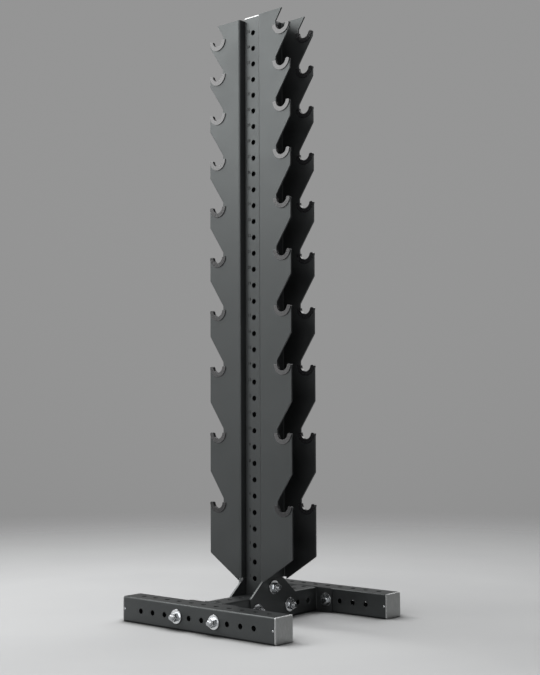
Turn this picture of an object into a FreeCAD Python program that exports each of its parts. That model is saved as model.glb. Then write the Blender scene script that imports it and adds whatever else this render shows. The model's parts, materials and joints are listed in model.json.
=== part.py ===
"""Dumbbell rack: a punched square post on an H-shaped base, with a bent channel of open hooks
bolted to each side. The handles of ten pairs of dumbbells lie across the hooks.

Units are millimetres. +X runs along the feet, +Y goes to the back and +Z is up. The origin is on
the floor, under the middle of the post.
"""
import FreeCAD, Part
import math
import os

import Sketcher
from FreeCAD import Placement, Rotation, Vector

os.makedirs("parts", exist_ok=True)
doc = FreeCAD.newDocument("dumbbell_rack")

# ------------------------------------------------------------------------------------------------
# Driving dimensions
# ------------------------------------------------------------------------------------------------

DIMENSIONS = [
    # square tube shared by the post, the feet and the cross member
    ("tube_size", 76.2, "outside width of the square tube"),
    ("tube_wall", 3.0, "wall of the square tube"),
    ("tube_corner", 5.0, "outside corner radius of the square tube"),
    ("hole_pitch", 50.8, "spacing of the punched holes"),
    ("hole_diameter", 16.6, "punched hole, clears the bolt"),
    ("hole_end_margin", 12.7, "least distance from a hole's centre to the end of an open tube"),
    ("post_length", 1828.8, "length of the post"),
    ("foot_length", 609.6, "length of the front and rear foot"),
    ("foot_end_margin", 50.0, "least distance from a bolt-face hole to the end of a foot"),
    ("base_depth", 609.6, "front of the front foot to the back of the rear foot"),
    # end caps
    ("cap_face", 4.0, "thickness of an end cap outside the tube"),
    ("cap_edge", 1.5, "bevel round an end cap's face"),
    ("cap_plug", 16.0, "depth of an end cap's plug inside the tube"),
    ("cap_plug_wall", 4.0, "wall of the plug"),
    ("cap_clearance", 0.2, "gap between the plug and the inside of the tube"),
    # flange plates welded to the cross member
    ("flange_margin", 0.6, "sheet that shows outside a washer at the end of a flange plate"),
    ("flange_plate", 6.35, "thickness of a flange plate"),
    ("flange_corner", 4.0, "corner radius of a flange plate"),
    # gusset plates that hold the post
    ("gusset_plate", 6.35, "thickness of a gusset plate"),
    ("gusset_width", 210.0, "width of a gusset plate at its foot"),
    ("gusset_top_width", 90.0, "width of a gusset plate at its top"),
    ("gusset_lift", 3.0, "gap between a gusset plate and the floor"),
    # channels
    ("channel_plate", 4.8, "thickness of a channel's bent sheet"),
    ("channel_width", 118.6, "front face to rear face of a channel"),
    ("channel_bend", 2.4, "inside radius of a channel's bends"),
    ("flange_reach", 129.7, "from the side of the post to the outer edge of a channel's flange"),
    ("channel_top_drop", 5.0, "from the top of the post down to the top of a channel"),
    ("channel_gusset_gap", 0.5, "from the top of a gusset plate up to a channel's web"),
    ("channel_bolt_low", 127.0, "height of the low channel bolt above the foot of the post"),
    ("channel_bolt_mid", 635.0, "height of the middle channel bolt above the foot of the post"),
    ("channel_bolt_high", 1193.8, "height of the high channel bolt above the foot of the post"),
    # hooks
    ("saddle_radius", 20.0, "radius that a dumbbell handle lies in"),
    ("liner_skin", 2.5, "thickness of a hook liner"),
    ("liner_band", 13.5, "height of a hook liner, from its saddle to its outer rim"),
    ("liner_fit", 0.15, "gap between a hook liner and the sheet in its slot"),
    ("liner_lip_round", 5.0, "corner radius of a hook liner at the lip"),
    ("lip_margin", 0.3, "sheet that shows outside a hook liner at the lip"),
    ("throat_rise", 13.0, "from a hook's centre up to the corner of its throat"),
    ("throat_slant", 84.0, "height of the slanted edge from a throat to the outer edge"),
    ("first_row_drop", 49.5, "from the top of a channel down to the centre of the first hook"),
    ("last_row_rise", 231.0, "from the bottom of a channel's web up to the centre of the last hook"),
    ("toe_hang", 6.5, "from the bottom of a channel's web down to the tip of its flanges"),
    ("toe_slant", 76.5, "height of the slanted edge under the toe"),
    ("toe_round", 6.0, "radius of the toe's outer corner"),
    ("bend_relief", 12.0, "width of the relief beside the post, at the foot of each bend"),
    # fasteners
    ("bolt_diameter", 15.875, "bolt shank"),
    ("bolt_head", 9.9, "thickness of a hexagon head"),
    ("hex_flats", 23.8, "across the flats of a head or a nut"),
    ("hex_bevel", 1.2, "height of the bevel on a head or a nut"),
    ("nut_height", 13.9, "thickness of a nut"),
    ("nut_clearance", 0.1, "gap between a nut's bore and its bolt, all round"),
    ("washer_diameter", 44.4, "outside of a flat washer"),
    ("washer_bore", 17.4, "hole of a flat washer"),
    ("washer_plate", 3.4, "thickness of a flat washer"),
    ("bolt_stickout", 9.5, "bolt end beyond its nut"),
]
# the gaps between the hook rows share the height from the first row to the last, and are wider
# towards the floor, where the dumbbells are larger
ROW_SHARES = [114.5, 130.0, 149.5, 153.5, 162.0, 172.5, 180.0, 210.5, 219.5]
DIMENSIONS += [
    (f"row_share_{number}", share, f"share of the gap between hook rows {number} and {number + 1}")
    for number, share in enumerate(ROW_SHARES, start=1)
]

sheet = doc.addObject("Spreadsheet::Sheet", "sizes")


def write_cell(row, alias, content, note):
    """One line of the sheet: the name, the number or formula, and what it is."""
    sheet.set(f"A{row}", alias)
    sheet.set(f"B{row}", content)
    sheet.set(f"C{row}", note)
    sheet.setAlias(f"B{row}", alias)


for row, (alias, number, note) in enumerate(DIMENSIONS, start=1):
    write_cell(row, alias, str(number), note)
doc.recompute()


class Size:
    """A length with the sheet formula that gives it, so that arithmetic writes the formula."""

    def __init__(self, number, formula):
        self.number = float(number)
        self.formula = formula

    def __add__(self, other):
        other = as_size(other)
        return Size(self.number + other.number, f"({self.formula} + {other.formula})")

    def __sub__(self, other):
        other = as_size(other)
        return Size(self.number - other.number, f"({self.formula} - {other.formula})")

    def __mul__(self, other):
        other = as_size(other)
        return Size(self.number * other.number, f"({self.formula} * {other.formula})")

    def __truediv__(self, other):
        other = as_size(other)
        return Size(self.number / other.number, f"({self.formula} / {other.formula})")

    def __neg__(self):
        return Size(-self.number, f"(0 - {self.formula})")


def as_size(value):
    """Give a plain number the form of a Size."""
    return value if isinstance(value, Size) else Size(value, repr(float(value)))


def root(value):
    """Square root of a Size."""
    return Size(math.sqrt(value.number), f"sqrt({value.formula})")


def whole(value):
    """A Size rounded down to a whole number."""
    return Size(math.floor(value.number), f"floor({value.formula})")


SIZES = {alias: Size(sheet.get(alias), f"sizes.{alias}") for alias, _, _ in DIMENSIONS}


def size(alias):
    """The Size of one cell of the sheet."""
    return SIZES[alias]


def derive(alias, value, note):
    """Keep a worked-out Size under a name of its own, below the driving dimensions."""
    row = len(SIZES) + 1
    write_cell(row, alias, "=" + value.formula.replace("sizes.", ""), note)
    SIZES[alias] = Size(value.number, f"sizes.{alias}")
    return SIZES[alias]


def bind(item, path, value):
    """Tie a property to its formula in the sheet."""
    item.setExpression(path, as_size(value).formula)


# ------------------------------------------------------------------------------------------------
# Sketches and features
# ------------------------------------------------------------------------------------------------

def new_body(name):
    """A body whose label is also the name of its file."""
    body = doc.addObject("PartDesign::Body", name)
    body.Label = name
    return body


def origin_part(body, role):
    """One plane or axis of a body's own origin, found by its role."""
    return next(part for part in body.Origin.OriginFeatures if part.Role == role)


def new_sketch(body, name, plane, lift=None):
    """A sketch on one origin plane of its body, lifted off it along the plane's normal."""
    sketch = body.newObject("Sketcher::SketchObject", name)
    sketch.AttachmentSupport = [(origin_part(body, plane), "")]
    sketch.MapMode = "FlatFace"
    if lift is not None:
        bind(sketch, "AttachmentOffset.Base.z", lift)
        sketch.AttachmentOffset = Placement(Vector(0, 0, as_size(lift).number), Rotation())
    return sketch


def pin_point(sketch, geometry, point, place):
    """Hold one point of a sketch at a place given by two Sizes."""
    for axis, value in zip(("DistanceX", "DistanceY"), place):
        if value is None:
            continue
        value = as_size(value)
        rule = Sketcher.Constraint(axis, -1, 1, geometry, point, value.number)
        bind(sketch, f"Constraints[{sketch.addConstraint(rule)}]", value)


def add_circle(sketch, centre, diameter):
    """A circle held by its centre and its diameter."""
    middle = Vector(as_size(centre[0]).number, as_size(centre[1]).number, 0)
    circle = Part.Circle(middle, Vector(0, 0, 1), diameter.number / 2)
    geometry = sketch.addGeometry(circle, False)
    pin_point(sketch, geometry, 3, centre)
    rule = Sketcher.Constraint("Diameter", geometry, diameter.number)
    bind(sketch, f"Constraints[{sketch.addConstraint(rule)}]", diameter)


def add_outline(sketch, corners, arcs=None):
    """A closed outline through corners held in place.

    arcs maps the number of a corner to the centre and turn (+1 anticlockwise, -1 clockwise) of the
    arc that leaves it. Every other side is straight.
    """
    arcs = arcs or {}
    corners = [(as_size(x), as_size(y)) for x, y in corners]
    spots = [Vector(x.number, y.number, 0) for x, y in corners]
    starts = []
    ends = []
    for number, start in enumerate(spots):
        end = spots[(number + 1) % len(spots)]
        if number in arcs:
            geometry = add_arc(sketch, start, end, arcs[number])
            turn = arcs[number][1]
            starts.append((geometry, 1 if turn > 0 else 2))
            ends.append((geometry, 2 if turn > 0 else 1))
        else:
            geometry = sketch.addGeometry(Part.LineSegment(start, end), False)
            starts.append((geometry, 1))
            ends.append((geometry, 2))
    for number, corner in enumerate(corners):
        before = ends[number - 1]
        after = starts[number]
        sketch.addConstraint(Sketcher.Constraint("Coincident", *before, *after))
        pin_point(sketch, *after, corner)


def add_arc(sketch, start, end, arc):
    """An arc between two corners, held by the coordinate of its centre across the chord."""
    centre, turn = arc
    centre = (as_size(centre[0]), as_size(centre[1]))
    middle = Vector(centre[0].number, centre[1].number, 0)
    first, last = (start, end) if turn > 0 else (end, start)
    angles = [math.atan2(spot.y - middle.y, spot.x - middle.x) for spot in (first, last)]
    circle = Part.Circle(middle, Vector(0, 0, 1), (start - middle).Length)
    geometry = sketch.addGeometry(Part.ArcOfCircle(circle, *angles), False)
    chord = end - start
    across_y = abs(chord.x) >= abs(chord.y)
    pin_point(sketch, geometry, 3, (None, centre[1]) if across_y else (centre[0], None))
    return geometry


def add_rounded_rectangle(sketch, width, depth, radius):
    """A rectangle about the origin with rounded corners."""
    x = width / 2
    y = depth / 2
    inner_x = x - radius
    inner_y = y - radius
    corners = [
        (inner_x, -y), (x, -inner_y), (x, inner_y), (inner_x, y),
        (-inner_x, y), (-x, inner_y), (-x, -inner_y), (-inner_x, -y),
    ]
    arcs = {
        0: ((inner_x, -inner_y), 1),
        2: ((inner_x, inner_y), 1),
        4: ((-inner_x, inner_y), 1),
        6: ((-inner_x, -inner_y), 1),
    }
    add_outline(sketch, corners, arcs)


def hexagon_corner(flats):
    """From the middle of a regular hexagon to its corner, given the size across its flats."""
    return flats / math.sqrt(3)


def add_hexagon(sketch, flats):
    """A regular hexagon about the origin, with two corners on the X axis."""
    corner = hexagon_corner(flats)
    half = corner / 2
    side = flats / 2
    corners = [(corner, 0), (half, side), (-half, side), (-corner, 0), (-half, -side), (half, -side)]
    add_outline(sketch, corners)


def pad(body, sketch, name, length, middle=False, downward=False):
    """Raise a sketch into a solid."""
    feature = body.newObject("PartDesign::Pad", name)
    feature.Profile = sketch
    feature.Reversed = downward
    if middle:
        feature.SideType = "Symmetric"
    bind(feature, "Length", length)
    body.Tip = feature
    doc.recompute()
    return feature


def pocket(body, sketch, name, depth=None, downward=True):
    """Cut a sketch out of a body: right through both ways, or to a depth one way."""
    before = body.Shape.Volume
    feature = body.newObject("PartDesign::Pocket", name)
    feature.Profile = sketch
    if depth is None:
        feature.SideType = "Symmetric"
        feature.Type = "ThroughAll"
    else:
        feature.Reversed = not downward
        bind(feature, "Length", depth)
    body.Tip = feature
    doc.recompute()
    if not body.Shape.Volume < before:
        raise RuntimeError(f"{body.Label}: {name} cuts nothing")
    return feature


def repeat_along(body, feature, name, axis, count, pitch):
    """Repeat a feature along one axis of the body."""
    pattern = body.newObject("PartDesign::LinearPattern", name)
    pattern.Originals = [feature]
    pattern.Direction = (origin_part(body, axis), [""])
    bind(pattern, "Length", (count - 1) * pitch)
    bind(pattern, "Occurrences", count)
    body.Tip = pattern
    doc.recompute()
    return pattern


def place(item, x=0, y=0, z=0, turn=None):
    """Stand an object at a place given by Sizes, turned about its own origin."""
    spot = Vector(*(as_size(value).number for value in (x, y, z)))
    item.Placement = Placement(spot, turn or Rotation())
    for axis, value in zip("xyz", (x, y, z)):
        bind(item, f"Placement.Base.{axis}", value)


def node_of_copies(name, master, places):
    """One node made of copies of a master piece, each at its own (x, y, z, turn)."""
    copies = []
    for number, spot in enumerate(places, start=1):
        copy = doc.addObject("App::Link", f"{name}_{number:02d}")
        copy.LinkedObject = master
        place(copy, *spot)
        copies.append(copy)
    node = doc.addObject("Part::Compound", name)
    node.Label = name
    node.Links = copies
    return node


UPRIGHT = Rotation()
ALONG_X = Rotation(Vector(0, 1, 0), 90)
AGAINST_X = Rotation(Vector(0, 1, 0), -90)
ALONG_Y = Rotation(Vector(1, 0, 0), -90)
AGAINST_Y = Rotation(Vector(1, 0, 0), 90)
HALF_TURN = Rotation(Vector(0, 0, 1), 180)

# ------------------------------------------------------------------------------------------------
# Places that several pieces share
# ------------------------------------------------------------------------------------------------

half_tube = size("tube_size") / 2
pitch = size("hole_pitch")
base_bolt_offset = pitch * 1.5
post_top = size("tube_size") + size("post_length")
foot_centre = size("base_depth") / 2 - half_tube
flange_face = size("base_depth") / 2 - size("tube_size")
flange_width = base_bolt_offset * 2 + size("washer_diameter") + size("flange_margin") * 2
cross_length = (flange_face - size("flange_plate")) * 2
gusset_top = size("tube_size") + pitch
channel_bottom = gusset_top + size("channel_gusset_gap")
channel_top = post_top - size("channel_top_drop")
channel_edge = half_tube + size("flange_reach")

liner_slot_radius = size("saddle_radius") + size("liner_skin")
hook_radius = liner_slot_radius + size("liner_fit")
liner_radius = size("saddle_radius") + size("liner_band")
hook_centre = channel_edge - liner_radius - size("lip_margin")
flange_middle = (size("channel_width") - size("channel_plate")) / 2
toe_tip = channel_bottom - size("toe_hang")
toe_corner = toe_tip + size("toe_slant")
blank_bottom = toe_tip - size("channel_plate")

first_row = channel_top - size("first_row_drop")
last_row = channel_bottom + size("last_row_rise")
shares = [size(f"row_share_{number}") for number in range(1, len(ROW_SHARES) + 1)]
share_value = (first_row - last_row) / sum(shares[1:], shares[0])
row_stretch = derive("row_stretch", share_value, "millimetres for each unit of row share")
row_heights = [first_row]
for number, share in enumerate(shares, start=2):
    height = row_heights[-1] - share * row_stretch
    row_heights.append(derive(f"row_height_{number}", height, f"height of hook row {number}"))
doc.recompute()


def bolt_hole(rise):
    """Height of the bolt hole that lies within half a pitch of a height above the post's foot."""
    return size("tube_size") + (whole(as_size(rise) / pitch) + 0.5) * pitch


gusset_bolt_height = bolt_hole(0)
channel_bolt_heights = [
    bolt_hole(size("channel_bolt_low")),
    bolt_hole(size("channel_bolt_mid")),
    bolt_hole(size("channel_bolt_high")),
    post_top - pitch / 2,
]
post_bolt_heights = [gusset_bolt_height] + channel_bolt_heights


def holes_on_centre(length, margin):
    """How many holes fit a tube when one of them is at its middle."""
    return whole((length / 2 - margin) / pitch) * 2 + 1


def holes_off_centre(length, margin):
    """How many holes fit a tube when its middle lies between two of them."""
    return whole((length / 2 - margin) / pitch + 0.5) * 2


# ------------------------------------------------------------------------------------------------
# Square tubes
# ------------------------------------------------------------------------------------------------

def punched_tube(name, length):
    """A square tube about its own middle, along its own Z."""
    body = new_body(name)
    section = new_sketch(body, f"{name}_section", "XY_Plane")
    bore = size("tube_size") - size("tube_wall") * 2
    bore_corner = size("tube_corner") - size("tube_wall")
    add_rounded_rectangle(section, size("tube_size"), size("tube_size"), size("tube_corner"))
    add_rounded_rectangle(section, bore, bore, bore_corner)
    pad(body, section, f"{name}_tube", length, middle=True)
    return body


def punch_row(body, name, plane, count, one_wall=None):
    """Punch a row of evenly spaced holes along the middle of a face.

    The holes pass through both walls, or through one wall only: the near one is on the side that
    the plane's normal points to, and the far one is on the other side.
    """
    sketch = new_sketch(body, f"{name}_hole", plane)
    add_circle(sketch, (0, (count - 1) * pitch / -2), size("hole_diameter"))
    depth = None if one_wall is None else size("tube_size")
    first = pocket(body, sketch, f"{name}_first", depth, downward=one_wall != "near")
    repeat_along(body, first, f"{name}_row", "Z_Axis", count, pitch)


def make_post():
    """The post: holes all the way up its front and back, and bolt holes through its sides."""
    body = punched_tube("post", size("post_length"))
    count = holes_on_centre(size("post_length"), size("hole_end_margin"))
    punch_row(body, "post_front", "XZ_Plane", count)
    sketch = new_sketch(body, "post_bolt_holes", "YZ_Plane")
    middle = size("tube_size") + size("post_length") / 2
    for height in post_bolt_heights:
        add_circle(sketch, (0, height - middle), size("hole_diameter"))
    pocket(body, sketch, "post_bolt_cut")
    place(body, 0, 0, middle)
    return body


def make_foot(name, y):
    """A foot: bolt holes through its front and back, and a row of holes along its top."""
    body = punched_tube(name, size("foot_length"))
    face_count = holes_off_centre(size("foot_length"), size("foot_end_margin"))
    top_count = holes_on_centre(size("foot_length"), size("hole_end_margin"))
    punch_row(body, f"{name}_face", "XZ_Plane", face_count)
    punch_row(body, f"{name}_top", "YZ_Plane", top_count, one_wall="far")
    place(body, 0, y, half_tube, ALONG_X)
    return body


def make_cross_member():
    """The tube that joins the feet and carries the post."""
    body = punched_tube("cross_member", cross_length)
    margin = size("hole_end_margin")
    side_count = holes_off_centre(cross_length, margin)
    top_count = holes_on_centre(cross_length, margin)
    punch_row(body, "cross_side", "YZ_Plane", side_count)
    punch_row(body, "cross_top", "XZ_Plane", top_count, one_wall="near")
    place(body, 0, 0, half_tube, ALONG_Y)
    return body


# ------------------------------------------------------------------------------------------------
# End caps
# ------------------------------------------------------------------------------------------------

def make_end_cap(name, x, y, z, turn):
    """A cap on the end of a tube: a bevelled face outside and a hollow plug inside."""
    body = new_body(name)
    face = new_sketch(body, f"{name}_face", "XY_Plane")
    add_rounded_rectangle(face, size("tube_size"), size("tube_size"), size("tube_corner"))
    plate = pad(body, face, f"{name}_plate", size("cap_face"))
    rim = [
        f"Edge{number}"
        for number, edge in enumerate(plate.Shape.Edges, start=1)
        if edge.BoundBox.ZMin > size("cap_face").number - 0.001
    ]
    bevel = body.newObject("PartDesign::Chamfer", f"{name}_bevel")
    bevel.Base = (plate, rim)
    bind(bevel, "Size", size("cap_edge"))
    body.Tip = bevel
    plug = new_sketch(body, f"{name}_plug", "XY_Plane")
    outside = size("tube_size") - (size("tube_wall") + size("cap_clearance")) * 2
    inside = outside - size("cap_plug_wall") * 2
    corner = size("tube_corner") - size("tube_wall")
    add_rounded_rectangle(plug, outside, outside, corner)
    add_rounded_rectangle(plug, inside, inside, corner)
    pad(body, plug, f"{name}_plug_wall", size("cap_plug"), downward=True)
    place(body, x, y, z, turn)
    return body


# ------------------------------------------------------------------------------------------------
# Plates of the base
# ------------------------------------------------------------------------------------------------

def make_flange_plate(name, y):
    """A plate welded to the end of the cross member and bolted to a foot."""
    body = new_body(name)
    outline = new_sketch(body, f"{name}_outline", "XZ_Plane")
    add_rounded_rectangle(outline, flange_width, size("tube_size"), size("flange_corner"))
    for side in (-1, 1):
        add_circle(outline, (base_bolt_offset * side, 0), size("hole_diameter"))
    pad(body, outline, f"{name}_plate", size("flange_plate"), middle=True)
    place(body, 0, y, half_tube)
    return body


def make_gusset(name, x):
    """A plate with sloping shoulders, bolted to the side of the cross member and of the post."""
    body = new_body(name)
    outline = new_sketch(body, f"{name}_outline", "YZ_Plane")
    foot = size("gusset_width") / 2
    head = size("gusset_top_width") / 2
    corners = [
        (-foot, size("gusset_lift")), (foot, size("gusset_lift")), (foot, size("tube_size")),
        (head, gusset_top), (-head, gusset_top), (-foot, size("tube_size")),
    ]
    add_outline(outline, corners)
    add_circle(outline, (base_bolt_offset, half_tube), size("hole_diameter"))
    add_circle(outline, (-base_bolt_offset, half_tube), size("hole_diameter"))
    add_circle(outline, (0, gusset_bolt_height), size("hole_diameter"))
    pad(body, outline, f"{name}_plate", size("gusset_plate"), middle=True)
    place(body, x)
    return body


# ------------------------------------------------------------------------------------------------
# Channels with the hooks
# ------------------------------------------------------------------------------------------------

def make_channel(name, turn):
    """A bent channel: a web against the side of the post and two flanges cut into hooks."""
    body = new_body(name)
    section = new_sketch(body, f"{name}_section", "XY_Plane", blank_bottom)
    add_channel_section(section)
    pad(body, section, f"{name}_bent_sheet", channel_top - blank_bottom)
    for number, height in enumerate(row_heights, start=1):
        sketch = new_sketch(body, f"{name}_hook_{number:02d}", "XZ_Plane")
        add_hook_gap(sketch, height)
        pocket(body, sketch, f"{name}_hook_cut_{number:02d}")
    toe = new_sketch(body, f"{name}_toe", "XZ_Plane")
    add_toe_waste(toe)
    pocket(body, toe, f"{name}_toe_cut")
    bolts = new_sketch(body, f"{name}_bolt_holes", "YZ_Plane")
    for height in channel_bolt_heights:
        add_circle(bolts, (0, height), size("hole_diameter"))
    pocket(body, bolts, f"{name}_bolt_cut")
    place(body, 0, 0, 0, turn)
    return body


def add_channel_section(sketch):
    """The sheet's section: the web lies on the post and both flanges point away from it."""
    web = half_tube
    sheet_in = web + size("channel_plate")
    edge = channel_edge
    y = size("channel_width") / 2
    y_in = y - size("channel_plate")
    inner = size("channel_bend")
    outer = inner + size("channel_plate")
    corners = [
        (web, -y + outer), (web + outer, -y), (edge, -y), (edge, -y_in),
        (sheet_in + inner, -y_in), (sheet_in, -y_in + inner), (sheet_in, y_in - inner),
        (sheet_in + inner, y_in), (edge, y_in), (edge, y), (web + outer, y), (web, y - outer),
    ]
    arcs = {
        0: ((web + outer, -y + outer), 1),
        4: ((sheet_in + inner, -y_in + inner), -1),
        6: ((sheet_in + inner, y_in - inner), -1),
        10: ((web + outer, y - outer), 1),
    }
    add_outline(sketch, corners, arcs)


def add_hook_gap(sketch, height):
    """The gap over one hook: a round saddle, a short throat and a slanted edge above it."""
    left = hook_centre - hook_radius
    lip_drop = size("liner_skin") + size("liner_fit")
    lip_x = hook_centre + root(hook_radius * hook_radius - lip_drop * lip_drop)
    outside = channel_edge + size("channel_plate")
    throat = height + size("throat_rise")
    slant = size("throat_slant") / (channel_edge - left)
    shoulder = throat + size("throat_slant") + slant * size("channel_plate")
    corners = [
        (left, height), (lip_x, height - lip_drop), (outside, height - lip_drop),
        (outside, shoulder), (left, throat),
    ]
    add_outline(sketch, corners, {0: ((hook_centre, height), 1)})


def add_toe_waste(sketch):
    """The waste under the last hook: a sloping edge, and a relief at the foot of each bend."""
    inside = half_tube - size("channel_plate")
    outside = channel_edge + size("channel_plate")
    floor = blank_bottom - size("channel_plate")
    relief = half_tube + size("bend_relief")
    slope = size("toe_slant") / (channel_edge - relief)
    radius = size("toe_round")
    length = root(slope * slope + 1)
    tangent = radius * (length - slope)
    corners = [
        (inside, floor), (outside, floor), (outside, toe_corner + tangent),
        (channel_edge, toe_corner + tangent),
        (channel_edge - tangent / length, toe_corner - tangent * slope / length),
        (relief, toe_tip), (relief, channel_bottom), (inside, channel_bottom),
    ]
    add_outline(sketch, corners, {3: ((channel_edge - radius, toe_corner + tangent), -1)})


def make_hook_liner():
    """A moulded liner that slips over the edge of a hook, about the hook's own centre."""
    body = new_body("hook_liner")
    band = new_sketch(body, "hook_liner_band", "XZ_Plane")
    saddle = size("saddle_radius")
    lip = size("liner_lip_round")
    saddle_end = root(saddle * saddle - lip * lip)
    rim_end = root(liner_radius * liner_radius - lip * lip)
    corners = [
        (-saddle, 0), (saddle_end, -lip), (saddle_end + lip, 0),
        (rim_end - lip, 0), (rim_end, -lip), (-liner_radius, 0),
    ]
    arcs = {
        0: ((0, 0), 1),
        1: ((saddle_end + lip, -lip), -1),
        3: ((rim_end - lip, -lip), -1),
        4: ((0, 0), -1),
    }
    add_outline(band, corners, arcs)
    skin = size("liner_skin")
    width = size("channel_plate") + (skin + size("liner_fit")) * 2
    pad(body, band, "hook_liner_block", width, middle=True)
    slot = new_sketch(body, "hook_liner_slot", "XZ_Plane", -(width / 2 - skin))
    slot_end = root(liner_slot_radius * liner_slot_radius - skin * skin)
    reach = liner_radius + skin
    corners = [
        (-liner_slot_radius, 0), (slot_end, -skin), (reach, -skin), (reach, -reach),
        (-reach, -reach), (-reach, skin), (-liner_slot_radius, skin),
    ]
    add_outline(slot, corners, {0: ((0, 0), 1)})
    pocket(body, slot, "hook_liner_slot_cut", width - skin * 2, downward=False)
    return body


def liner_places(side, face):
    """Where the liners of one flange go: side is +1 right, -1 left; face is -1 front, +1 rear."""
    turn = UPRIGHT if side > 0 else HALF_TURN
    return [(hook_centre * side, flange_middle * face, height, turn) for height in row_heights]


# ------------------------------------------------------------------------------------------------
# Fasteners, each along its own Z with its bearing face at the origin
# ------------------------------------------------------------------------------------------------

def bevel_hexagon(body, name, height):
    """Turn the corners off the outer face of a hexagon."""
    corner = hexagon_corner(size("hex_flats"))
    side = size("hex_flats") / 2
    drop = size("hex_bevel")
    sketch = new_sketch(body, f"{name}_bevel", "XZ_Plane")
    sign = 1 if height.number > 0 else -1
    add_outline(sketch, [(side, height), (corner + drop, height), (corner + drop, height - drop * sign)])
    before = body.Shape.Volume
    groove = body.newObject("PartDesign::Groove", f"{name}_bevel_cut")
    groove.Profile = sketch
    groove.ReferenceAxis = (origin_part(body, "Z_Axis"), [""])
    groove.Angle = 360
    body.Tip = groove
    doc.recompute()
    if not body.Shape.Volume < before:
        raise RuntimeError(f"{name}: the bevel cuts nothing")


def make_bolt(name, grip):
    """A hexagon bolt that reaches through its grip, both washers and its nut."""
    body = new_body(name)
    shank = new_sketch(body, f"{name}_shank", "XY_Plane")
    add_circle(shank, (0, 0), size("bolt_diameter"))
    reach = grip + size("washer_plate") * 2 + size("nut_height") + size("bolt_stickout")
    pad(body, shank, f"{name}_rod", reach)
    head = new_sketch(body, f"{name}_head", "XY_Plane")
    add_hexagon(head, size("hex_flats"))
    pad(body, head, f"{name}_hexagon", size("bolt_head"), downward=True)
    bevel_hexagon(body, name, -size("bolt_head"))
    return body


def make_nut():
    """A hexagon nut."""
    body = new_body("nut")
    outline = new_sketch(body, "nut_outline", "XY_Plane")
    add_hexagon(outline, size("hex_flats"))
    add_circle(outline, (0, 0), size("bolt_diameter") + size("nut_clearance") * 2)
    pad(body, outline, "nut_hexagon", size("nut_height"))
    bevel_hexagon(body, "nut", size("nut_height"))
    return body


def make_washer():
    """A flat washer."""
    body = new_body("washer")
    ring = new_sketch(body, "washer_ring", "XY_Plane")
    add_circle(ring, (0, 0), size("washer_diameter"))
    add_circle(ring, (0, 0), size("washer_bore"))
    pad(body, ring, "washer_plate_pad", size("washer_plate"))
    return body


washer = size("washer_plate")
gusset_face = half_tube + size("gusset_plate")
channel_face = half_tube + size("channel_plate")
front_face = size("base_depth") / 2
inner_face = cross_length / 2

foot_axes = [(base_bolt_offset, half_tube), (-base_bolt_offset, half_tube)]
gusset_axes = [(0, gusset_bolt_height)] + foot_axes
channel_axes = [(0, height) for height in channel_bolt_heights]


def through_bolts(name, grip, face, axes):
    """Bolts through the post or the cross member, heads on the left and nuts on the right."""
    places = [(-(face + washer), y, z, ALONG_X) for y, z in axes]
    return node_of_copies(name, make_bolt(f"{name}_master", grip), places)


def foot_bolt_places():
    """Heads on the flange plates and ends outside the feet."""
    front = [(x, -(inner_face - washer), z, AGAINST_Y) for x, z in foot_axes]
    rear = [(x, inner_face - washer, z, ALONG_Y) for x, z in foot_axes]
    return front + rear


def nut_places():
    """A nut outside the washer at the end of every bolt."""
    right = [(gusset_face + washer, y, z, ALONG_X) for y, z in gusset_axes]
    right += [(channel_face + washer, y, z, ALONG_X) for y, z in channel_axes]
    front = [(x, -(front_face + washer), z, AGAINST_Y) for x, z in foot_axes]
    rear = [(x, front_face + washer, z, ALONG_Y) for x, z in foot_axes]
    return right + front + rear


def washer_places():
    """A washer under the head and under the nut of every bolt."""
    spots = []
    for face, axes in ((gusset_face, gusset_axes), (channel_face, channel_axes)):
        spots += [(face, y, z, ALONG_X) for y, z in axes]
        spots += [(-face, y, z, AGAINST_X) for y, z in axes]
    for x, z in foot_axes:
        spots += [(x, -front_face, z, AGAINST_Y), (x, front_face, z, ALONG_Y)]
        spots += [(x, -inner_face, z, ALONG_Y), (x, inner_face, z, AGAINST_Y)]
    return spots


# ------------------------------------------------------------------------------------------------
# Assembly
# ------------------------------------------------------------------------------------------------

foot_end = size("foot_length") / 2
cap_spots = {
    "front_foot_left_cap": (-foot_end, -foot_centre, half_tube, AGAINST_X),
    "front_foot_right_cap": (foot_end, -foot_centre, half_tube, ALONG_X),
    "rear_foot_left_cap": (-foot_end, foot_centre, half_tube, AGAINST_X),
    "rear_foot_right_cap": (foot_end, foot_centre, half_tube, ALONG_X),
    "post_top_cap": (0, 0, post_top, UPRIGHT),
}
flange_centre = flange_face - size("flange_plate") / 2
gusset_centre = half_tube + size("gusset_plate") / 2

nodes = [
    make_post(),
    make_foot("front_foot", -foot_centre),
    make_foot("rear_foot", foot_centre),
    make_cross_member(),
    make_flange_plate("front_flange_plate", -flange_centre),
    make_flange_plate("rear_flange_plate", flange_centre),
    make_gusset("right_gusset", gusset_centre),
    make_gusset("left_gusset", -gusset_centre),
    make_channel("right_hook_channel", UPRIGHT),
    make_channel("left_hook_channel", HALF_TURN),
]
nodes += [make_end_cap(name, *spot) for name, spot in cap_spots.items()]

liner = make_hook_liner()
for side_name, side in (("right", 1), ("left", -1)):
    for face_name, face in (("front", -1), ("rear", 1)):
        name = f"{side_name}_{face_name}_hook_liners"
        nodes.append(node_of_copies(name, liner, liner_places(side, face)))

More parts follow.
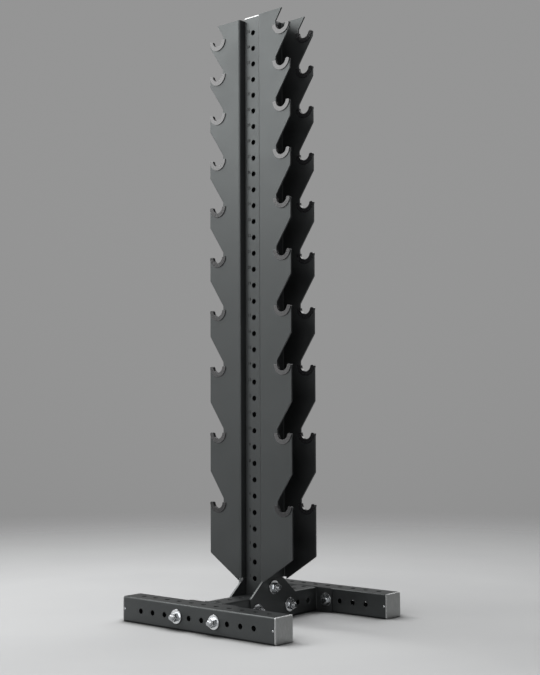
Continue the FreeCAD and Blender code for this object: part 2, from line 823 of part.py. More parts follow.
gusset_grip = gusset_face * 2
channel_grip = channel_face * 2
foot_grip = size("tube_size") + size("flange_plate")
nodes += [
    through_bolts("gusset_bolts", gusset_grip, gusset_face, gusset_axes),
    through_bolts("channel_bolts", channel_grip, channel_face, channel_axes),
    node_of_copies("foot_bolts", make_bolt("foot_bolts_master", foot_grip), foot_bolt_places()),
    node_of_copies("nuts", make_nut(), nut_places()),
    node_of_copies("washers", make_washer(), washer_places()),
]

doc.recompute()

# ------------------------------------------------------------------------------------------------
# Tests and export
# ------------------------------------------------------------------------------------------------

for item in doc.Objects:
    for state in ("Invalid", "Error"):
        if state in item.State:
            raise RuntimeError(f"{item.Label} is {state}")
for node in nodes:
    if node.Shape.isNull() or not node.Shape.isValid():
        raise RuntimeError(f"{node.Label} has no valid shape")
for node in nodes:
    node.Shape.exportStep(f"parts/{node.Label}.step")
    print(f"{node.Label}: {len(node.Shape.Solids)} solids, {node.Shape.Volume / 1000:.1f} cm3")
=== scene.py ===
import json
import math

import bmesh
import bpy
from mathutils import Matrix, Vector


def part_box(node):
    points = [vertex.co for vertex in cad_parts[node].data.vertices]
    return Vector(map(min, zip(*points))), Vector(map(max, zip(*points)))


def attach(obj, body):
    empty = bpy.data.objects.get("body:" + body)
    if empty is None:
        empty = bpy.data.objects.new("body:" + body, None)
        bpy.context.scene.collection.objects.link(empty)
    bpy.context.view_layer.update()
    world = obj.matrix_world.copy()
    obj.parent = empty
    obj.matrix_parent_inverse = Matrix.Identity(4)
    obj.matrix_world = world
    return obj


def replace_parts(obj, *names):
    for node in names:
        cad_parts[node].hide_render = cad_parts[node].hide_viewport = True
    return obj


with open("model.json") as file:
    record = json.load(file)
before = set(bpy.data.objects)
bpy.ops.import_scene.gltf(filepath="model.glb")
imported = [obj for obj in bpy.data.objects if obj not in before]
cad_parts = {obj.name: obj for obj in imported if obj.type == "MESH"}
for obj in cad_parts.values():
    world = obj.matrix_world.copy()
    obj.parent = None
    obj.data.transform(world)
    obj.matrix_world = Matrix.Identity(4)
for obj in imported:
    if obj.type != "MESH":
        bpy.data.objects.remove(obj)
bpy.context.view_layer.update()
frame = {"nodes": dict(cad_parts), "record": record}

MM = 0.001
ROOT = "root"


# ------------------------------------------------------------------------------------------------
# Materials
# ------------------------------------------------------------------------------------------------

VECTOR_MATHS = "ShaderNodeVectorMath"
BEVEL_SAMPLES = 6
OCCLUSION_SAMPLES = 8

# The cosine between a normal and the rounded normal there, on a flat and on a sharp edge.
FLAT_LEAN = 0.98
SHARP_LEAN = 0.80


class Nodes:
    """Short calls to add nodes to a tree and to join them."""

    def __init__(self, tree):
        self.tree = tree

    def link(self, source, target):
        """Join an output to an input."""
        self.tree.links.new(source, target)

    def feed(self, target, value):
        """Join an input to another node's output, or set it to a plain value."""
        if isinstance(value, bpy.types.NodeSocket):
            self.link(value, target)
        else:
            target.default_value = value

    def node(self, kind, **inputs):
        """A new node with its inputs fed; names with spaces are written with _."""
        made = self.tree.nodes.new(kind)
        for name, value in inputs.items():
            self.feed(made.inputs[name.replace("_", " ")], value)
        return made

    def maths(self, operation, *values, kind="ShaderNodeMath"):
        """The number that a maths node makes of values or sockets."""
        made = self.node(kind)
        made.operation = operation
        for target, value in zip(made.inputs, values):
            self.feed(target, value)
        return made.outputs["Value"]

    def ranged(self, value, low, high, to_low=0.0, to_high=1.0, blend="LINEAR"):
        """A value carried from one range to another, and held at the ends."""
        made = self.node(
            "ShaderNodeMapRange",
            Value=value, From_Min=low, From_Max=high, To_Min=to_low, To_Max=to_high,
        )
        made.interpolation_type = blend
        return made.outputs["Result"]


class Finish(Nodes):
    """A node material about one Principled shader."""

    def __init__(self, name, base=(0.5, 0.5, 0.5), **values):
        self.material = bpy.data.materials.new(name)
        self.material.use_nodes = True
        super().__init__(self.material.node_tree)
        self.shader = self.tree.nodes["Principled BSDF"]
        self.shader.inputs["Base Color"].default_value = (*base, 1.0)
        for socket, value in values.items():
            self.shader.inputs[socket.replace("_", " ")].default_value = value

    def drive(self, name, source):
        """Join an output to one of the shader's own inputs."""
        self.link(source, self.shader.inputs[name])

    def position(self):
        """The place of a surface point in the rack's frame."""
        return self.node("ShaderNodeNewGeometry").outputs["Position"]

    def noise(self, scale, detail=3.0, stretch=(1.0, 1.0, 1.0)):
        """Noise over the rack's own space, with finer grains along an axis stretched more."""
        place = self.node("ShaderNodeMapping", Vector=self.position(), Scale=stretch)
        made = self.node(
            "ShaderNodeTexNoise", Vector=place.outputs["Vector"], Scale=scale, Detail=detail
        )
        return made.outputs["Fac"]

    def mixed(self, factor, first, second):
        """A colour between two colours; each is a colour or a socket."""
        made = self.node("ShaderNodeMix")
        made.data_type = "RGBA"
        self.link(factor, made.inputs["Factor"])
        colours = [socket for socket in made.inputs if socket.type == "RGBA"]
        for target, value in zip(colours, (first, second)):
            self.feed(target, (*value, 1.0) if isinstance(value, tuple) else value)
        return next(socket for socket in made.outputs if socket.type == "RGBA")

    def rounded_normal(self, radius):
        """The surface's normal as if its edges were rounded by a radius."""
        made = self.node("ShaderNodeBevel", Radius=radius)
        made.samples = BEVEL_SAMPLES
        return made.outputs["Normal"]

    def edges(self, radius):
        """1 on sharp edges and 0 on flats, from how far a rounded normal leans."""
        plain = self.node("ShaderNodeNewGeometry").outputs["Normal"]
        lean = self.maths("DOT_PRODUCT", self.rounded_normal(radius), plain, kind=VECTOR_MATHS)
        return self.ranged(lean, FLAT_LEAN, SHARP_LEAN)

    def open_air(self, reach, low, high):
        """1 where a surface is open and 0 where it is tucked into a corner; this mask carries
        painted shade.
        """
        made = self.node("ShaderNodeAmbientOcclusion", Distance=reach)
        made.samples = OCCLUSION_SAMPLES
        return self.ranged(made.outputs["AO"], low, high)

    def bump(self, layers, rounding=None):
        """Bumps of (height, strength, distance) one on another, over edges rounded by a radius."""
        normal = None if rounding is None else self.rounded_normal(rounding)
        for height, strength, distance in layers:
            made = self.node(
                "ShaderNodeBump", Height=height, Strength=strength, Distance=distance
            )
            if normal is not None:
                self.link(normal, made.inputs["Normal"])
            normal = made.outputs["Normal"]
        self.drive("Normal", normal)


def powder_coat():
    """Satin black powder coat: fine orange peel, slight mottling and thin, paler edges."""
    finish = Finish(
        "powder_coat",
        Roughness=0.42, Specular_IOR_Level=0.65, Specular_Tint=(0.93, 1.0, 0.995, 1.0),
    )
    dark, pale = (0.0130, 0.0136, 0.0141), (0.0180, 0.0187, 0.0193)
    thin_coat = (0.055, 0.056, 0.058)
    cloud = finish.noise(scale=9.0, detail=4.0)
    grain = finish.noise(scale=2600.0, detail=2.0)
    peel = finish.noise(scale=900.0, detail=2.0)
    patches = finish.ranged(finish.noise(scale=60.0), 0.35, 0.65, 0.25, 1.0)
    worn = finish.maths("MULTIPLY", finish.edges(0.9 * MM), patches)
    tone = finish.mixed(finish.ranged(cloud, 0.35, 0.65), dark, pale)
    finish.drive("Base Color", finish.mixed(worn, tone, thin_coat))
    satin = finish.ranged(cloud, 0.3, 0.7, 0.38, 0.46)
    speckle = finish.ranged(grain, 0.3, 0.7, -0.03, 0.03)
    finish.drive("Roughness", finish.maths("ADD", satin, speckle))
    finish.bump([(peel, 0.22, 0.06 * MM), (grain, 0.10, 0.02 * MM)], rounding=0.6 * MM)
    return finish.material


def hook_plastic():
    """Glossy black moulded plastic, faintly rippled."""
    finish = Finish(
        "hook_liner_plastic", (0.016, 0.016, 0.017), Roughness=0.2, Specular_IOR_Level=0.65
    )
    clean, scuffed = (0.014, 0.014, 0.015), (0.028, 0.028, 0.029)
    ripple = finish.noise(scale=180.0, detail=2.0)
    scuffs = finish.noise(scale=420.0, detail=4.0, stretch=(1.0, 0.15, 1.0))
    finish.drive("Roughness", finish.ranged(scuffs, 0.45, 0.75, 0.16, 0.34))
    finish.drive("Base Color", finish.mixed(finish.ranged(scuffs, 0.5, 0.8), clean, scuffed))
    finish.bump([(ripple, 0.25, 0.1 * MM)], rounding=0.5 * MM)
    return finish.material


def brushed_cap():
    """Brushed silver end cap with a painted highlight on its edges."""
    finish = Finish("brushed_end_cap", Metallic=1.0, Roughness=0.36)
    dark, pale, rim = (0.26, 0.265, 0.262), (0.37, 0.375, 0.372), (0.96, 0.96, 0.97)
    lines = finish.noise(scale=120.0, detail=4.0, stretch=(10.0, 10.0, 0.6))
    cloud = finish.noise(scale=30.0, detail=3.0)
    tone = finish.mixed(finish.ranged(lines, 0.3, 0.7), dark, pale)
    # Painted highlight: the cap's edges take the near-white rim colour.
    finish.drive("Base Color", finish.mixed(finish.edges(3.0 * MM), tone, rim))
    brushed = finish.ranged(lines, 0.3, 0.7, 0.30, 0.44)
    patches = finish.ranged(cloud, 0.3, 0.7, -0.04, 0.04)
    finish.drive("Roughness", finish.maths("ADD", brushed, patches))
    finish.bump([(lines, 0.25, 0.03 * MM)], rounding=0.4 * MM)
    return finish.material


def zinc_plate(name, dark, pale, smooth, rough, rim=(0.92, 0.92, 0.93)):
    """Bright zinc on steel, with a cloudy plated tone, a painted highlight on its edges and
    painted shade in its corners.
    """
    finish = Finish(name, Metallic=1.0, Roughness=(smooth + rough) / 2)
    # Painted shade: corners and recesses, such as where a nut meets its washer, darken towards
    # this colour.
    corner = (0.22, 0.225, 0.23)
    cloud = finish.noise(scale=220.0, detail=4.0)
    pitting = finish.noise(scale=1500.0, detail=2.0)
    tone = finish.mixed(finish.ranged(cloud, 0.3, 0.7), dark, pale)
    # Painted highlight: sharp edges take the bright rim colour.
    tone_with_painted_highlight = finish.mixed(finish.edges(0.6 * MM), tone, rim)
    painted_shade_mask = finish.open_air(4.0 * MM, low=0.2, high=0.7)
    finish.drive("Base Color", finish.mixed(painted_shade_mask, corner, tone_with_painted_highlight))
    finish.drive("Roughness", finish.ranged(cloud, 0.3, 0.7, smooth, rough))
    finish.bump([(pitting, 0.15, 0.02 * MM)], rounding=0.3 * MM)
    return finish.material


def number_paint():
    """Flat black ink of the hole numbers."""
    finish = Finish("number_ink", (0.006, 0.006, 0.006), Roughness=0.8, Specular_IOR_Level=0.05)
    dark, pale = (0.004, 0.004, 0.004), (0.010, 0.010, 0.010)
    speck = finish.noise(scale=3000.0, detail=2.0)
    finish.drive("Base Color", finish.mixed(finish.ranged(speck, 0.4, 0.7), dark, pale))
    finish.bump([(speck, 0.1, 0.01 * MM)])
    return finish.material


# ------------------------------------------------------------------------------------------------
# Mesh tools
# ------------------------------------------------------------------------------------------------

RING_POINTS = 72
RING_SEAM = 0.001 * MM
CAD_SEAM = 0.01 * MM


def add_piece(name, bm, material, smooth_angle=math.radians(35)):
    """A new piece of the object from a bmesh, riding on the rack's one body."""
    mesh = bpy.data.meshes.new(name)
    bm.to_mesh(mesh)
    bm.free()
    mesh.materials.append(material)
    piece = bpy.data.objects.new(name, mesh)
    bpy.context.scene.collection.objects.link(piece)
    mesh.shade_smooth()
    mesh.set_sharp_from_angle(angle=smooth_angle)
    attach(piece, ROOT)
    return piece


def frame_along(origin, axis):
    """A matrix that stands local Z along an axis at a point."""
    return Matrix.Translation(origin) @ Vector(axis).to_track_quat("Z", "Y").to_matrix().to_4x4()


def circle_ring(radius, height, count=RING_POINTS):
    """Points of a circle about local Z at a height."""
    return [
        (radius * math.cos(math.tau * i / count), radius * math.sin(math.tau * i / count), height)
        for i in range(count)
    ]


def ring_surface(bm, rings, matrix, closed_ends=True):
    """Faces between rings of points, each ring as long as the next, placed by a matrix."""
    made = [[bm.verts.new(matrix @ Vector(point)) for point in ring] for ring in rings]
    count = len(made[0])
    for lower, upper in zip(made, made[1:]):
        for i in range(count):
            j = (i + 1) % count
            bm.faces.new((lower[i], lower[j], upper[j], upper[i]))
    if closed_ends:
        bm.faces.new(list(reversed(made[0])))
        bm.faces.new(made[-1])


def close_rings(bm):
    """Join the first and last rings of each hollow solid, and turn its faces outwards."""
    bmesh.ops.remove_doubles(bm, verts=bm.verts, dist=RING_SEAM)
    bmesh.ops.recalc_face_normals(bm, faces=bm.faces)


def loose_solids(node):
    """(lowest corner, highest corner) of each separate solid of a CAD node."""
    bm = bmesh.new()
    bm.from_mesh(frame["nodes"][node].data)
    bmesh.ops.remove_doubles(bm, verts=bm.verts, dist=CAD_SEAM)
    bm.verts.ensure_lookup_table()
    seen = set()
    boxes = []
    for start in bm.verts:
        if start.index in seen:
            continue
        stack = [start]
        seen.add(start.index)
        low = high = start.co.copy()
        while stack:
            vert = stack.pop()
            low = Vector(map(min, low, vert.co))
            high = Vector(map(max, high, vert.co))
            for edge in vert.link_edges:
                other = edge.other_vert(vert)
                if other.index not in seen:
                    seen.add(other.index)
                    stack.append(other)
        boxes.append((low, high))
    bm.free()
    return boxes


# ------------------------------------------------------------------------------------------------
# Bolts, nuts and washers, which stand for the plain CAD ones
# ------------------------------------------------------------------------------------------------

HEX_FLATS = 23.8 * MM
HEX_BEVEL_CIRCLE = HEX_FLATS / 2 * 0.97
HEX_BEVEL_SLOPE = math.tan(math.radians(30))

BOLT_RADIUS = 7.9375 * MM
BOLT_HEAD = 9.9 * MM
BEARING_RADIUS = HEX_FLATS / 2 * 0.95
BEARING_HEIGHT = 0.4 * MM
SHANK_POINTS = 36

THREADED_LENGTH = 40.0 * MM
THREAD_PITCH = 2.309 * MM
THREAD_DEPTH = 1.25 * MM
THREAD_STEPS = 8
THREAD_FLANK = 2.6
THREAD_CHAMFER = 1.6 * MM

NUT_HEIGHT = 13.9 * MM
NUT_CLEARANCE = 0.1 * MM
NUT_CHAMFER = 0.7 * MM
# A nut's turn in degrees: its middle, how far it varies, and the step from nut to nut.
FOOT_NUT_TURNS = (17.0, 9.0, 1.7)
SIDE_NUT_TURNS = (-8.0, -2.0, 2.4)

WASHER_CLEARANCE = 0.5 * MM
WASHER_CHAMFER = 0.3 * MM
WASHER_RIM_WIDTH = 1.9 * MM
WASHER_RIM_DEPTH = 0.42
WASHER_RIM_STEPS = 4


def hexagon_ring(height, bevel=0.0):
    """Points of a hexagon at a height; with a bevel of 1 its corners rise above the flats, and
    with -1 they drop."""
    ring = []
    for i in range(RING_POINTS):
        angle = math.tau * i / RING_POINTS
        lean = (angle + math.pi / 6) % (math.pi / 3) - math.pi / 6
        radius = HEX_FLATS / 2 / math.cos(lean)
        z = height + bevel * (radius - HEX_BEVEL_CIRCLE) * HEX_BEVEL_SLOPE
        ring.append((radius * math.cos(angle), radius * math.sin(angle), z))
    return ring


def thread_rings(start, end):
    """Rings up a threaded shank: each point's radius follows the turn of the thread."""
    rings = []
    total = int(round((end - start) / THREAD_PITCH * THREAD_STEPS))
    for step in range(total + 1):
        z = start + (end - start) * step / total
        fade = min(1.0, (z - start) / THREAD_PITCH)
        chamfer = max(0.0, THREAD_CHAMFER - (end - z))
        ring = []
        for i in range(SHANK_POINTS):
            angle = math.tau * i / SHANK_POINTS
            phase = (z / THREAD_PITCH - i / SHANK_POINTS) % 1.0
            crest = min(1.0, abs(phase - 0.5) * THREAD_FLANK)
            radius = BOLT_RADIUS - THREAD_DEPTH * fade * (1.0 - crest) - chamfer
            radius = max(radius, BOLT_RADIUS - THREAD_CHAMFER)
            ring.append((radius * math.cos(angle), radius * math.sin(angle), z))
        rings.append(ring)
    return rings


def add_bolt(bm, origin, axis, length):
    """A hexagon bolt with its bearing face at the origin and its end along the axis."""
    matrix = frame_along(origin, axis)
    ring_surface(bm, [
        circle_ring(HEX_BEVEL_CIRCLE, -BOLT_HEAD),
        hexagon_ring(-BOLT_HEAD, bevel=1.0),
        hexagon_ring(-BEARING_HEIGHT),
        circle_ring(BEARING_RADIUS, -BEARING_HEIGHT),
        circle_ring(BEARING_RADIUS, 0.0),
    ], matrix)
    plain_end = length - THREADED_LENGTH
    rings = [circle_ring(BOLT_RADIUS, z, SHANK_POINTS) for z in (0.0, plain_end)]
    ring_surface(bm, rings + thread_rings(plain_end, length)[1:], matrix)


def add_nut(bm, origin, axis, turn):
    """A hexagon nut with a bevel on both faces, turned about its axis."""
    bore = BOLT_RADIUS + NUT_CLEARANCE
    rings = [
        circle_ring(bore, NUT_CHAMFER),
        circle_ring(bore + NUT_CHAMFER, 0.0),
        circle_ring(HEX_BEVEL_CIRCLE, 0.0),
        hexagon_ring(0.0, bevel=1.0),
        hexagon_ring(NUT_HEIGHT, bevel=-1.0),
        circle_ring(HEX_BEVEL_CIRCLE, NUT_HEIGHT),
        circle_ring(bore + NUT_CHAMFER, NUT_HEIGHT),
        circle_ring(bore, NUT_HEIGHT - NUT_CHAMFER),
    ]
    matrix = frame_along(origin, axis) @ Matrix.Rotation(turn, 4, "Z")
    ring_surface(bm, rings + rings[:1], matrix, closed_ends=False)


def bolt_axes(node):
    """(origin, axis, length) of each bolt of a node. Bolts through the feet have their heads
    nearer the rack's middle, and bolts across the rack have them on the left."""
    found = []
    for low, high in loose_solids(node):
        size = high - low
        middle = (low + high) / 2
        if max(size) == size.x:
            axis = Vector((1, 0, 0))
        else:
            axis = Vector((0, 1 if middle.y > 0 else -1, 0))
        end_of_head = middle - axis * max(size) / 2
        found.append((end_of_head + axis * BOLT_HEAD, axis, max(size) - BOLT_HEAD))
    return found


def flat_solids(node):
    """(centre of the inner face, outward axis, size) of each nut or washer of a node."""
    found = []
    for low, high in loose_solids(node):
        size = high - low
        middle = (low + high) / 2
        thin = min(range(3), key=lambda i: size[i])
        axis = Vector((0, 0, 0))
        axis[thin] = 1.0 if middle[thin] > 0 else -1.0
        found.append((middle - axis * size[thin] / 2, axis, size))
    return found


def build_bolts(material):
    """Threaded bolts with bevelled heads."""
    for node in ("gusset_bolts", "channel_bolts", "foot_bolts"):
        bm = bmesh.new()
        for origin, axis, length in bolt_axes(node):
            add_bolt(bm, origin, axis, length)
        piece = add_piece(f"{node}_threaded", bm, material)
        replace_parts(piece, node)


def build_nuts(material):
    """Nuts with bevelled corners, no two at the same turn."""
    bm = bmesh.new()
    for number, (origin, axis, _) in enumerate(flat_solids("nuts")):
        turn, spread, step = FOOT_NUT_TURNS if axis.y else SIDE_NUT_TURNS
        add_nut(bm, origin, axis, math.radians(turn + spread * math.sin(number * step)))
    close_rings(bm)
    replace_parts(add_piece("nuts_bevelled", bm, material), "nuts")


def washer_rings(outer, height):
    """Rings round a washer's section: bore, inner face, rounded rim, outer face, bore again."""
    bore = BOLT_RADIUS + WASHER_CLEARANCE
    down = height * WASHER_RIM_DEPTH
    turns = [math.radians(90) * step / WASHER_RIM_STEPS for step in range(WASHER_RIM_STEPS + 1)]
    rings = [circle_ring(bore, WASHER_CHAMFER), circle_ring(bore + WASHER_CHAMFER, 0.0)]
    for turn in turns:
        inset = WASHER_RIM_WIDTH * (1 - math.sin(turn))
        rings.append(circle_ring(outer - inset, down * (1 - math.cos(turn))))
    for turn in turns:
        inset = WASHER_RIM_WIDTH * (1 - math.cos(turn))
        rings.append(circle_ring(outer - inset, height - down * (1 - math.sin(turn))))
    rings.append(circle_ring(bore + WASHER_CHAMFER, height))
    rings.append(circle_ring(bore, height - WASHER_CHAMFER))
    return rings


def build_washers(material, painted_shade_material):
    """Flat washers whose rounded outer edges take a darker copy of the zinc, as painted shade."""
    bm = bmesh.new()
    for origin, axis, size in flat_solids("washers"):
        rings = washer_rings(max(size) / 2, min(size))
        ring_surface(bm, rings + rings[:1], frame_along(origin, axis), closed_ends=False)
    close_rings(bm)
    piece = add_piece("washers_rounded", bm, material)
    piece.data.materials.append(painted_shade_material)
    # Of a washer's bands of faces, the bore's edge and the inner face come before the rim. The rim
    # bands get the darker zinc, which is painted shade.
    bands = len(rings)
    rim_bands = range(2, 2 * WASHER_RIM_STEPS + 3)
    for face in piece.data.polygons:
        if face.index // RING_POINTS % bands in rim_bands:
            face.material_index = 1
    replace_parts(piece, "washers")


# ------------------------------------------------------------------------------------------------
# Numbers, small screws and welds
# ------------------------------------------------------------------------------------------------

TUBE = 76.2 * MM

HOLE_COUNT = 35
HOLE_PITCH = 50.8 * MM
NUMBER_HEIGHT = 9.5 * MM
FONT_SIZE_TO_HEIGHT = 1.38
NUMBER_THICKNESS = 0.06 * MM
NUMBER_BOLDNESS = 0.25 * MM
NUMBER_LEFT = 18.5 * MM
NUMBER_UP = 7.5 * MM
NUMBER_OFF_FACE = 0.04 * MM
NUMBER_CURVE_STEPS = 3

SCREW_FROM_END = 5.8 * MM
SCREW_RADIUS = 3.6 * MM
SCREW_POINTS = 24
SCREW_SUNK = 0.3 * MM
SCREW_EDGE = 0.4 * MM
SCREW_DOME = 1.5 * MM
SCREW_DOME_ANGLES = (0.35, 0.7, 1.05)
SCREW_SOCKET = ((1.25 * MM, 1.9 * MM), (1.15 * MM, 0.6 * MM))

WELD_LEG = 4.0 * MM
WELD_SUNK = 0.2 * MM
WELD_BELOW_TOP = 0.3 * MM
WELD_CORNER = 6 * MM
WELD_STEP = 0.45 * MM
WELD_TAPER = 3 * MM
WELD_TIP = 0.05
WELD_END_SIZE = 0.35
WELD_RIPPLE = 2.6 * MM
WELD_RIPPLE_HEIGHT = 0.12
WELD_WANDER_RATE = 611.0
WELD_WANDER_HEIGHT = 0.05
WELD_HALF_OUT = 0.55
WELD_HALF_ALONG = 0.75
WELD_POINTS = 10


def build_hole_numbers(material):
    """A small number up and to the left of each hole in the post's front face, from the bottom."""
    low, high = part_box("post")
    middle = (low.z + high.z) / 2
    turn = Matrix.Rotation(math.radians(90), 4, "X")
    bm = bmesh.new()
    for number in range(1, HOLE_COUNT + 1):
        z = middle + (number - 1 - (HOLE_COUNT - 1) / 2) * HOLE_PITCH
        text = bpy.data.curves.new(f"number_{number}", "FONT")
        text.body = str(number)
        text.size = NUMBER_HEIGHT * FONT_SIZE_TO_HEIGHT
        text.align_x = "CENTER"
        text.align_y = "CENTER"
        text.extrude = NUMBER_THICKNESS
        text.offset = NUMBER_BOLDNESS
        text.resolution_u = NUMBER_CURVE_STEPS
        holder = bpy.data.objects.new("number", text)
        mesh = bpy.data.meshes.new_from_object(holder)
        place = (-NUMBER_LEFT, low.y - NUMBER_OFF_FACE, z + NUMBER_UP)
        mesh.transform(Matrix.Translation(place) @ turn)
        bm.from_mesh(mesh)
        bpy.data.meshes.remove(mesh)
        bpy.data.objects.remove(holder)
        bpy.data.curves.remove(text)
    add_piece("hole_numbers", bm, material, smooth_angle=math.radians(30))


def build_cap_screws(material):
    """Small dome-headed screws that hold the end caps, front and back of each foot's ends."""
    rings = [circle_ring(SCREW_RADIUS, z, SCREW_POINTS) for z in (-SCREW_SUNK, SCREW_EDGE)]
    for lift in SCREW_DOME_ANGLES:
        z = SCREW_EDGE + SCREW_DOME * math.sin(lift)
        rings.append(circle_ring(SCREW_RADIUS * math.cos(lift), z, SCREW_POINTS))
    rings += [circle_ring(radius, z, SCREW_POINTS) for radius, z in SCREW_SOCKET]
    bm = bmesh.new()
    for node in ("front_foot", "rear_foot"):
        low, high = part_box(node)
        for x in (low.x + SCREW_FROM_END, high.x - SCREW_FROM_END):
            for face, y in ((-1, low.y), (1, high.y)):
                matrix = frame_along((x, y, (low.z + high.z) / 2), (0, face, 0))
                ring_surface(bm, rings, matrix)
    add_piece("cap_screws", bm, material)


def weld_rings(start, end, along):
    """Rings of a rippled bead that runs from one point to another and is small at both ends. It
    stands out from the tube to the left of its run, as seen from the front, and it leaves the
    plate along the tube."""
    run = Vector([last - first for first, last in zip(start, end)])
    length = run.length
    run.normalize()
    out = Vector((-run.z, 0, run.x))
    steps = int(length / WELD_STEP)
    rings = []
    for step in range(steps + 1):
        s = length * step / steps
        taper = WELD_TIP
        if 0 < s < length:
            taper = min(1.0, s / WELD_TAPER, (length - s) / WELD_TAPER) ** 0.5
        ripple = WELD_RIPPLE_HEIGHT * math.sin(math.tau * s / WELD_RIPPLE)
        wander = WELD_WANDER_HEIGHT * math.sin(s * WELD_WANDER_RATE)
        size = WELD_LEG * (1.0 + ripple + wander) * (WELD_END_SIZE + (1 - WELD_END_SIZE) * taper)
        ring = []
        for i in range(WELD_POINTS):
            angle = math.tau * i / WELD_POINTS
            ring.append(Vector(start) + run * s + out * size * WELD_HALF_OUT * math.cos(angle)
                        + along * size * WELD_HALF_ALONG * math.sin(angle))
        rings.append(ring)
    return rings


def build_weld_beads(material):
    """Fillet welds over the cross member's top and down its sides, at its two flange plates."""
    low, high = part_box("cross_member")
    half = TUBE / 2 - WELD_SUNK
    top = TUBE - WELD_BELOW_TOP
    side_top, side_foot = TUBE - WELD_CORNER, WELD_CORNER
    bm = bmesh.new()
    for face, y in ((1, low.y), (-1, high.y)):
        for start, end in (
            ((-half, y, top), (half, y, top)),
            ((half, y, side_top), (half, y, side_foot)),
            ((-half, y, side_foot), (-half, y, side_top)),
        ):
            ring_surface(bm, weld_rings(start, end, Vector((0, face, 0))), Matrix.Identity(4))
    bmesh.ops.recalc_face_normals(bm, faces=bm.faces)
    add_piece("weld_beads", bm, material, smooth_angle=math.radians(60))


# ------------------------------------------------------------------------------------------------
# Studio
# ------------------------------------------------------------------------------------------------

# The directions in which the surround is brighter: (direction, cosine at which the brightness
# starts, strength away from the direction, strength towards it).
SURROUND = (
    ((-0.15, -0.99, 0.0), -0.3, 0.13, 0.45),
    ((-0.61, 0.71, 0.35), 0.5, 0.0, 0.17),
)

FLOOR_REACH = 9.0
FLOOR_DROP = 0.5 * MM
FLOOR_FADE = (1.2, 4.1)
FLOOR_SHADE_REACH = 60.0 * MM

# (name, place, point faced, width, height, radiance) of each lamp.
LAMPS = (
    ("key", (-2.7, -3.1, 3.2), (-0.1, 0.0, 1.4), 2.4, 2.2, 5.0),
    ("edge", (-2.5, -0.4, 3.7), (0.0, 0.0, 0.4), 1.6, 1.6, 9.5),
    ("front", (1.4, -4.0, 1.9), (0.0, 0.0, 1.4), 2.4, 3.4, 2.6),
    ("front_high", (-0.8, -4.1, 2.9), (0.0, 0.0, 1.6), 1.6, 1.6, 3.2),
    ("overhead", (0.4, -0.6, 4.2), (0.1, 0.0, 1.0), 2.4, 2.0, 2.3),
    ("middle_strip", (-2.53, -3.05, 1.05), (0.0, 0.0, 0.9), 0.36, 1.5, 2.6),
    ("left_strip", (-3.05, -2.55, 1.05), (0.0, 0.0, 0.9), 0.30, 1.5, 2.6),
    ("back", (0.1, 3.7, 3.2), (0.0, 0.0, 1.1), 2.4, 2.0, 3.2),
)

# The camera as fitted to the photograph, with its angles in degrees: a negative yaw looks to
# the left of +Y. The sensor's length, in millimetres, spans the image's height.
CAMERA_PLACE = (2.39200, -2.76986, 0.63477)
CAMERA_YAW_PITCH_ROLL = (-40.412, 3.807, -0.245)
FOCAL_PIXELS = 1157.11
IMAGE_HEIGHT = 675.0
SENSOR = 36.0
CLIP_NEAR, CLIP_FAR = 0.05, 60.0


def build_world():
    """A plain grey surround, brighter in front of the rack and a little brighter behind it."""
    world = bpy.data.worlds.new("studio")
    world.use_nodes = True
    nodes = Nodes(world.node_tree)
    place = nodes.node("ShaderNodeTexCoord").outputs["Generated"]
    levels = []
    for side, start, low, high in SURROUND:
        lean = nodes.maths("DOT_PRODUCT", place, side, kind=VECTOR_MATHS)
        levels.append(nodes.ranged(lean, start, 1.0, low, high, blend="SMOOTHSTEP"))
    background = world.node_tree.nodes["Background"]
    nodes.feed(background.inputs["Strength"], nodes.maths("ADD", *levels))
    nodes.feed(background.inputs["Color"], (1.0, 1.0, 1.0, 1.0))
    bpy.context.scene.world = world


def build_floor():
    """A pale matt floor with a painted contact shadow where the rack stands on it, and which fades
    into the background well away from it."""
    mesh = bpy.data.meshes.new("floor")
    near, far = -FLOOR_REACH, FLOOR_REACH
    corners = [(near, near, 0), (far, near, 0), (far, far, 0), (near, far, 0)]
    mesh.from_pydata(corners, [], [(0, 1, 2, 3)])
    floor = bpy.data.objects.new("floor", mesh)
    floor.location.z = -FLOOR_DROP
    bpy.context.scene.collection.objects.link(floor)

    finish = Finish("floor_paint", (0.52, 0.52, 0.52), Roughness=0.8, Specular_IOR_Level=0.2)
    dark, pale, shade = (0.49, 0.495, 0.50), (0.54, 0.545, 0.545), (0.02, 0.02, 0.02)
    tone = finish.mixed(finish.noise(scale=2.5, detail=5.0), dark, pale)
    # Painted shadow: the floor darkens towards the shade colour where the rack stands close over
    # it.
    painted_shade_mask = finish.open_air(FLOOR_SHADE_REACH, low=0.45, high=0.9)
    finish.drive("Base Color", finish.mixed(painted_shade_mask, shade, tone))
    finish.bump([(finish.noise(scale=90.0, detail=4.0), 0.15, 0.4 * MM)])
    distance = finish.maths("LENGTH", finish.position(), kind=VECTOR_MATHS)
    clear = finish.node("ShaderNodeBsdfTransparent")
    blend = finish.node("ShaderNodeMixShader", Fac=finish.ranged(distance, *FLOOR_FADE))
    finish.link(finish.shader.outputs["BSDF"], blend.inputs[1])
    finish.link(clear.outputs["BSDF"], blend.inputs[2])
    finish.link(blend.outputs["Shader"], finish.tree.nodes["Material Output"].inputs["Surface"])
    mesh.materials.append(finish.material)


def build_lamp(name, place, aim, width, height, radiance):
    """A soft rectangular lamp of a given radiance that faces a point."""
    data = bpy.data.lights.new(name, "AREA")
    data.shape = "RECTANGLE"
    data.size = width
    data.size_y = height
    data.energy = radiance * math.pi * width * height
    lamp = bpy.data.objects.new(name, data)
    lamp.location = place
    lamp.rotation_mode = "QUATERNION"
    lamp.rotation_quaternion = (Vector(aim) - Vector(place)).to_track_quat("-Z", "Y")
    bpy.context.scene.collection.objects.link(lamp)


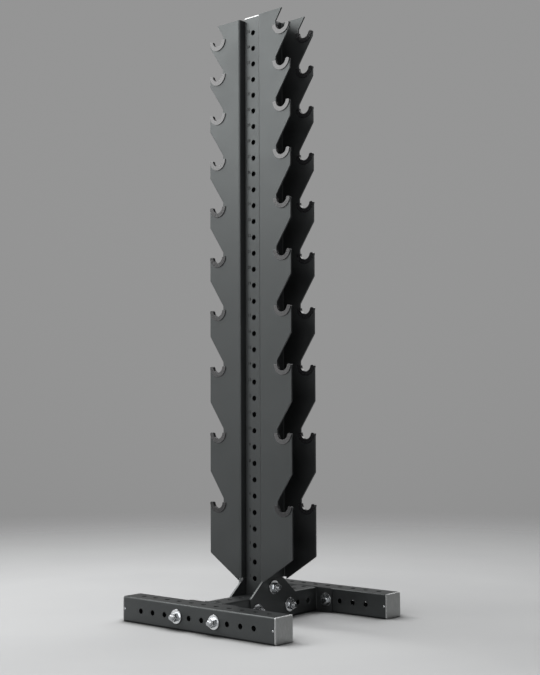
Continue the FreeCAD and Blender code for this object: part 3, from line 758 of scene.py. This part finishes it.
def build_camera():
    """The camera at the photograph's viewing angle."""
    yaw, pitch, roll = map(math.radians, CAMERA_YAW_PITCH_ROLL)
    level = math.cos(pitch)
    ahead = Vector((level * math.sin(yaw), level * math.cos(yaw), math.sin(pitch)))
    right = Vector((math.cos(yaw), -math.sin(yaw), 0.0))
    up = right.cross(ahead)
    right, up = (
        right * math.cos(roll) + up * math.sin(roll),
        up * math.cos(roll) - right * math.sin(roll),
    )
    data = bpy.data.cameras.new("camera")
    data.sensor_width = SENSOR
    data.lens = FOCAL_PIXELS / IMAGE_HEIGHT * SENSOR
    data.clip_start = CLIP_NEAR
    data.clip_end = CLIP_FAR
    camera = bpy.data.objects.new("camera", data)
    camera.matrix_world = Matrix.Translation(CAMERA_PLACE) @ Matrix((
        (right.x, up.x, -ahead.x, 0.0),
        (right.y, up.y, -ahead.y, 0.0),
        (right.z, up.z, -ahead.z, 0.0),
        (0.0, 0.0, 0.0, 1.0),
    ))
    bpy.context.scene.collection.objects.link(camera)
    bpy.context.scene.camera = camera


# ------------------------------------------------------------------------------------------------
# Assembly
# ------------------------------------------------------------------------------------------------

finishes = {
    "powder_coat": powder_coat(),
    "hook_liner": hook_plastic(),
    "end_cap": brushed_cap(),
    "zinc_hardware": zinc_plate(
        "zinc_plate", dark=(0.42, 0.435, 0.45), pale=(0.54, 0.55, 0.56), smooth=0.07, rough=0.15
    ),
}
washer_face = zinc_plate(
    "zinc_washer", dark=(0.70, 0.72, 0.74), pale=(0.82, 0.83, 0.84), smooth=0.10, rough=0.20
)
# Painted shade: a darker copy of the washer zinc, for the washers' outer edges.
washer_edge_painted_shade = zinc_plate(
    "zinc_washer_edge_painted_shade", dark=(0.25, 0.255, 0.26), pale=(0.33, 0.335, 0.34), smooth=0.12,
    rough=0.20, rim=(0.33, 0.335, 0.34),
)

slots = {part["node"]: part["material_slot"] for part in frame["record"]["subparts"]}
for node, obj in frame["nodes"].items():
    obj.data.materials.clear()
    obj.data.materials.append(finishes[slots[node]])

build_bolts(finishes["zinc_hardware"])
build_nuts(finishes["zinc_hardware"])
build_washers(washer_face, washer_edge_painted_shade)
build_hole_numbers(number_paint())
build_cap_screws(finishes["zinc_hardware"])
build_weld_beads(finishes["powder_coat"])

build_camera()
build_world()
build_floor()
for lamp in LAMPS:
    build_lamp(*lamp)

bpy.context.scene.view_settings.view_transform = "Standard"
